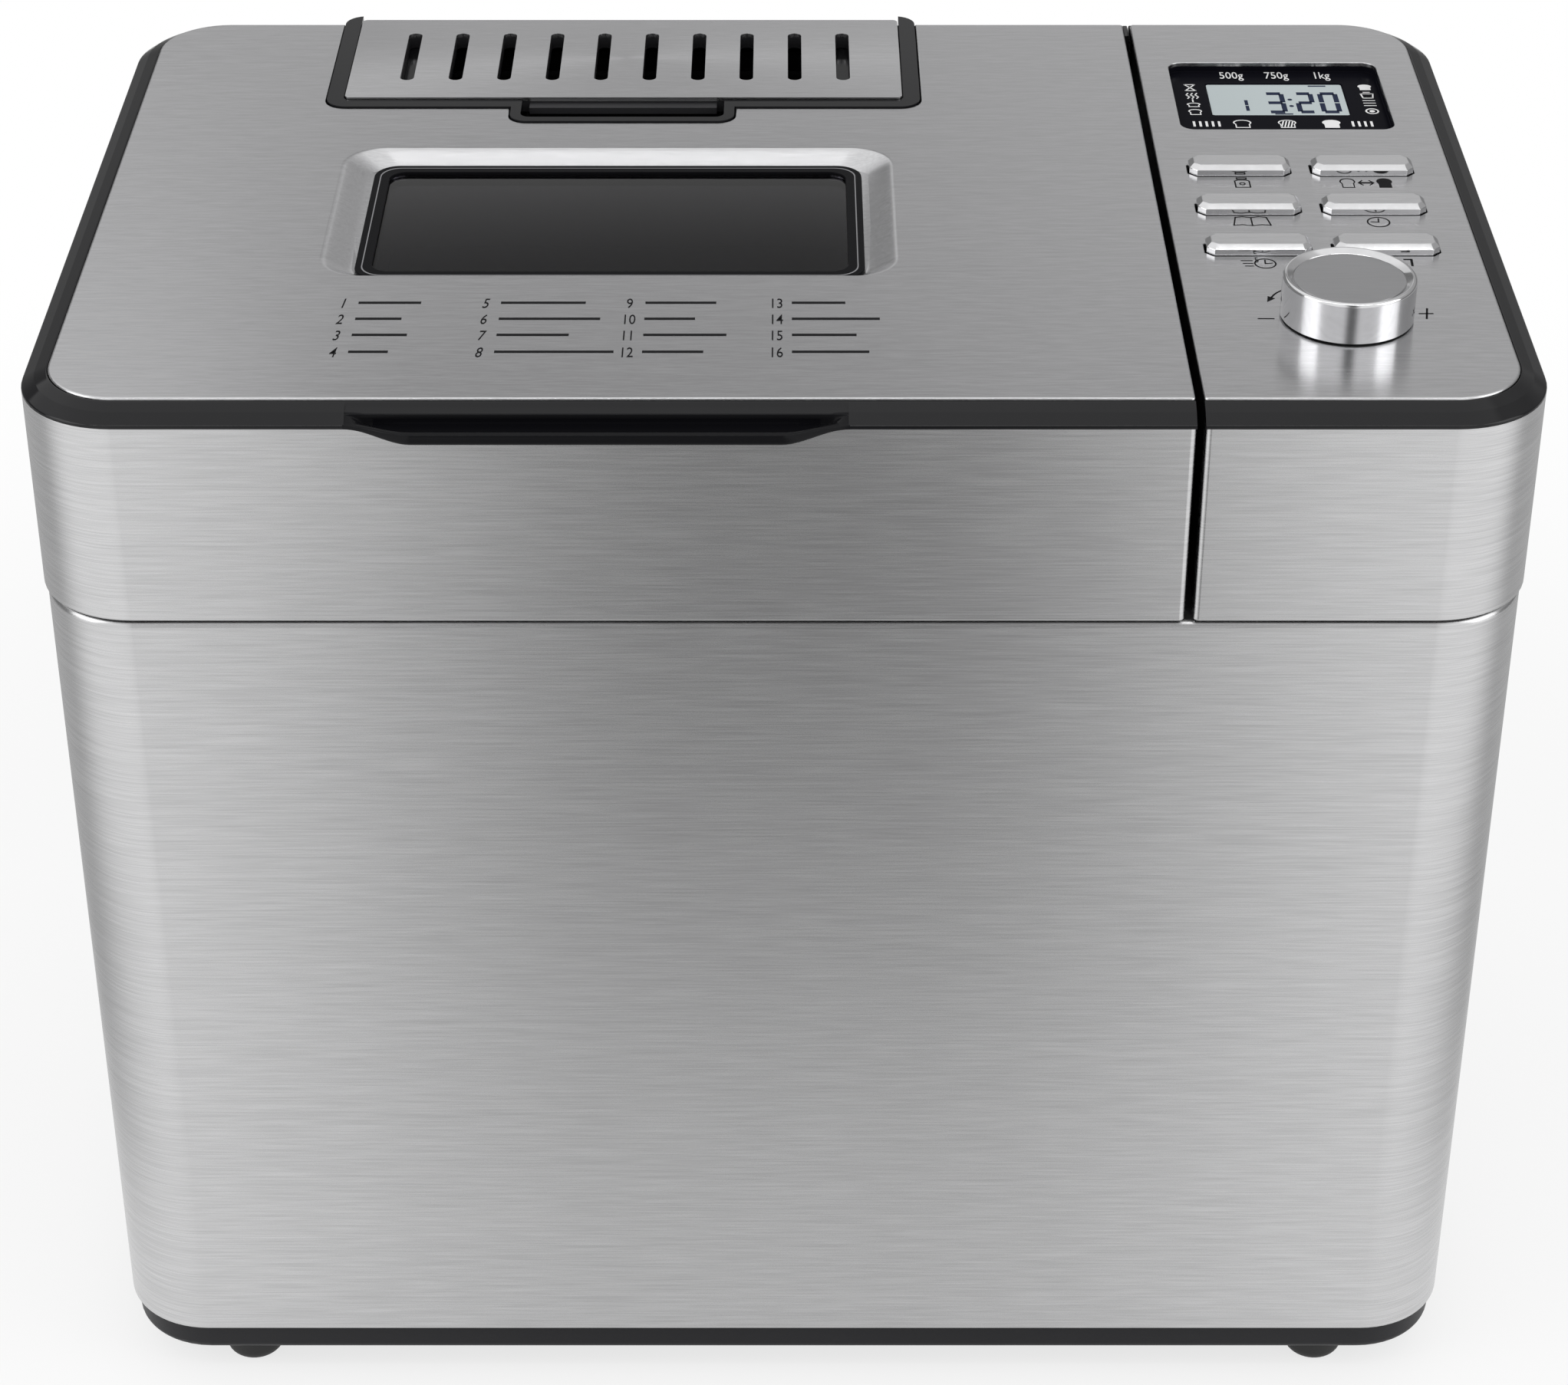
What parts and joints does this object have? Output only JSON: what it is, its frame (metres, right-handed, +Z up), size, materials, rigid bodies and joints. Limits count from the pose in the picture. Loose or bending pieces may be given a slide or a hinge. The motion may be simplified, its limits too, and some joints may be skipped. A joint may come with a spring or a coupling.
{
  "type": "bread machine",
  "caption": "Brushed steel bread machine with hinged lid, viewing window, ingredient dispenser flap, control column with display, buttons and knob, and lift-out pan.",
  "frame": {"origin": "middle of the footprint's bounding rectangle, on the surface that the feet stand on", "axes": "+Z up, +X to the right as seen by the user, where the control column is, -Y towards the user and +Y towards the lid's hinges"},
  "size_m": [0.385, 0.2675, 0.3309],
  "materials": {
    "brushed_steel": "brushed, satin",
    "black_rim": "satin, fine grain",
    "black_shell": "satin",
    "black_panel": "gloss",
    "display": "satin, lit from within",
    "glass": "clear, dark tint",
    "gasket": "satin",
    "seal": "matt silicone",
    "grey_base": "fine grain",
    "rear_steel": "fine texture, powder coated",
    "knob_metal": "polished side, satin face",
    "button_metal": "satin face, polished bevel",
    "coated_steel": "satin, heat resistant",
    "plain_steel": "mill finish",
    "shaft_steel": "ground",
    "tube_steel": "oxidised",
    "motor_can": "satin",
    "pulley_nylon": "satin",
    "belt": "matt",
    "board": "satin",
    "pan_coating": "non-stick coating, satin",
    "pan_metal": "satin"
  },
  "bodies": {
    "housing": {"body_wrap": "brushed_steel", "rear_panel": "rear_steel", "base_tray": "grey_base", "feet": "gasket", "deck_frame": "black_shell", "chassis_plate": "plain_steel", "baking_chamber": "coated_steel", "heating_element": "tube_steel", "element_clips": "plain_steel", "pan_socket": "plain_steel", "pan_clips": "plain_steel", "temperature_sensor": "plain_steel", "drive_bearing": "plain_steel", "drive_belt": "belt", "motor": "motor_can", "power_board": "board", "cord_gland": "gasket", "hinge_brackets": "black_shell", "control_skirt": "brushed_steel", "control_rim": "black_rim", "control_plate": "brushed_steel", "control_shell": "black_shell", "display_bezel": "black_panel", "display_lcd": "display", "control_board": "board", "encoder": "plain_steel"},
    "lid": {"lid_skirt": "brushed_steel", "lid_rim": "black_rim", "lid_plate": "brushed_steel", "lid_handle": "black_rim", "lid_shell": "black_shell", "lid_liner": "coated_steel", "lid_seal": "seal", "window_gasket": "gasket", "window_panes": "glass", "hinge_knuckles": "black_shell", "dispenser_surround": "black_rim", "dispenser_box": "black_shell", "dispenser_solenoid": "motor_can"},
    "flap": {"flap_plate": "brushed_steel", "flap_frame": "black_rim"},
    "trap": {"trapdoor": "black_shell"},
    "plunger": {"solenoid_plunger": "shaft_steel"},
    "pan": {"bread_pan": "pan_coating", "pan_base": "pan_metal"},
    "bail": {"pan_handle": "pan_metal"},
    "mixer": {"pan_shaft": "shaft_steel", "paddle": "pan_coating"},
    "drive": {"drive_shaft": "shaft_steel", "drive_pulley": "pulley_nylon", "drive_coupler": "plain_steel"},
    "rotor": {"motor_shaft": "shaft_steel", "motor_pulley": "pulley_nylon"},
    "knob": {"control_knob": "knob_metal"},
    "press_weight": {"button_weight": "button_metal"},
    "press_crust": {"button_crust": "button_metal"},
    "press_menu": {"button_menu": "button_metal"},
    "press_timer": {"button_timer": "button_metal"},
    "press_express": {"button_express": "button_metal"},
    "press_start": {"button_start": "button_metal"}
  },
  "joints": [
    {"name": "lid_hinge", "type": "hinge", "parent": "housing", "child": "lid", "pos_m": [-0.0464, 0.12975, 0.258], "axis": [-1, 0, 0], "range_deg": [0, 80]},
    {"name": "flap_hinge", "type": "hinge", "parent": "lid", "child": "flap", "pos_m": [-0.0464, 0.12075, 0.316], "axis": [-1, 0, 0], "range_deg": [0, 95]},
    {"name": "trapdoor_hinge", "type": "hinge", "parent": "lid", "child": "trap", "pos_m": [-0.0464, 0.07945, 0.2849], "axis": [1, 0, 0], "range_deg": [0, 50], "stiffness_Nm_per_rad": 0.004, "springref_deg": -34.38},
    {"name": "plunger_slide", "type": "slide", "parent": "lid", "child": "plunger", "axis": [0, 0, -1], "range_m": [0, 0.005]},
    {"name": "pan_lift", "type": "slide", "parent": "housing", "child": "pan", "axis": [0, 0, 1], "range_m": [0, 0.04]},
    {"name": "bail_hinge", "type": "hinge", "parent": "pan", "child": "bail", "pos_m": [-0.0464, -0.00175, 0.2349], "axis": [-1, 0, 0], "range_deg": [0, 180]},
    {"name": "mixer_spin", "type": "hinge", "parent": "pan", "child": "mixer", "pos_m": [-0.0464, -0.00175, 0.09], "axis": [0, 0, 1], "continuous": true},
    {"name": "drive_spin", "type": "hinge", "parent": "housing", "child": "drive", "pos_m": [-0.0464, -0.00175, 0.05], "axis": [0, 0, 1], "continuous": true},
    {"name": "motor_spin", "type": "hinge", "parent": "housing", "child": "rotor", "pos_m": [0.12755, 0.02125, 0.05], "axis": [0, 0, 1], "continuous": true},
    {"name": "knob_turn", "type": "hinge", "parent": "housing", "child": "knob", "pos_m": [0.1451, -0.07685, 0.319], "axis": [0, 0, 1], "continuous": true},
    {"name": "button_weight_press", "type": "slide", "parent": "housing", "child": "press_weight", "axis": [0, 0, -1], "range_m": [0, 0.0015], "stiffness_N_per_m": 600, "springref_m": -0.001},
    {"name": "button_crust_press", "type": "slide", "parent": "housing", "child": "press_crust", "axis": [0, 0, -1], "range_m": [0, 0.0015], "stiffness_N_per_m": 600, "springref_m": -0.001},
    {"name": "button_menu_press", "type": "slide", "parent": "housing", "child": "press_menu", "axis": [0, 0, -1], "range_m": [0, 0.0015], "stiffness_N_per_m": 600, "springref_m": -0.001},
    {"name": "button_timer_press", "type": "slide", "parent": "housing", "child": "press_timer", "axis": [0, 0, -1], "range_m": [0, 0.0015], "stiffness_N_per_m": 600, "springref_m": -0.001},
    {"name": "button_express_press", "type": "slide", "parent": "housing", "child": "press_express", "axis": [0, 0, -1], "range_m": [0, 0.0015], "stiffness_N_per_m": 600, "springref_m": -0.001},
    {"name": "button_start_press", "type": "slide", "parent": "housing", "child": "press_start", "axis": [0, 0, -1], "range_m": [0, 0.0015], "stiffness_N_per_m": 600, "springref_m": -0.001}
  ],
  "couplings": [
    {"joint": "motor_spin", "follows": "drive_spin", "ratio": 3.8},
    {"joint": "mixer_spin", "follows": "drive_spin", "ratio": 1},
    {"joint": "trapdoor_hinge", "follows": "plunger_slide", "rad_per_m": 174.53}
  ]
}
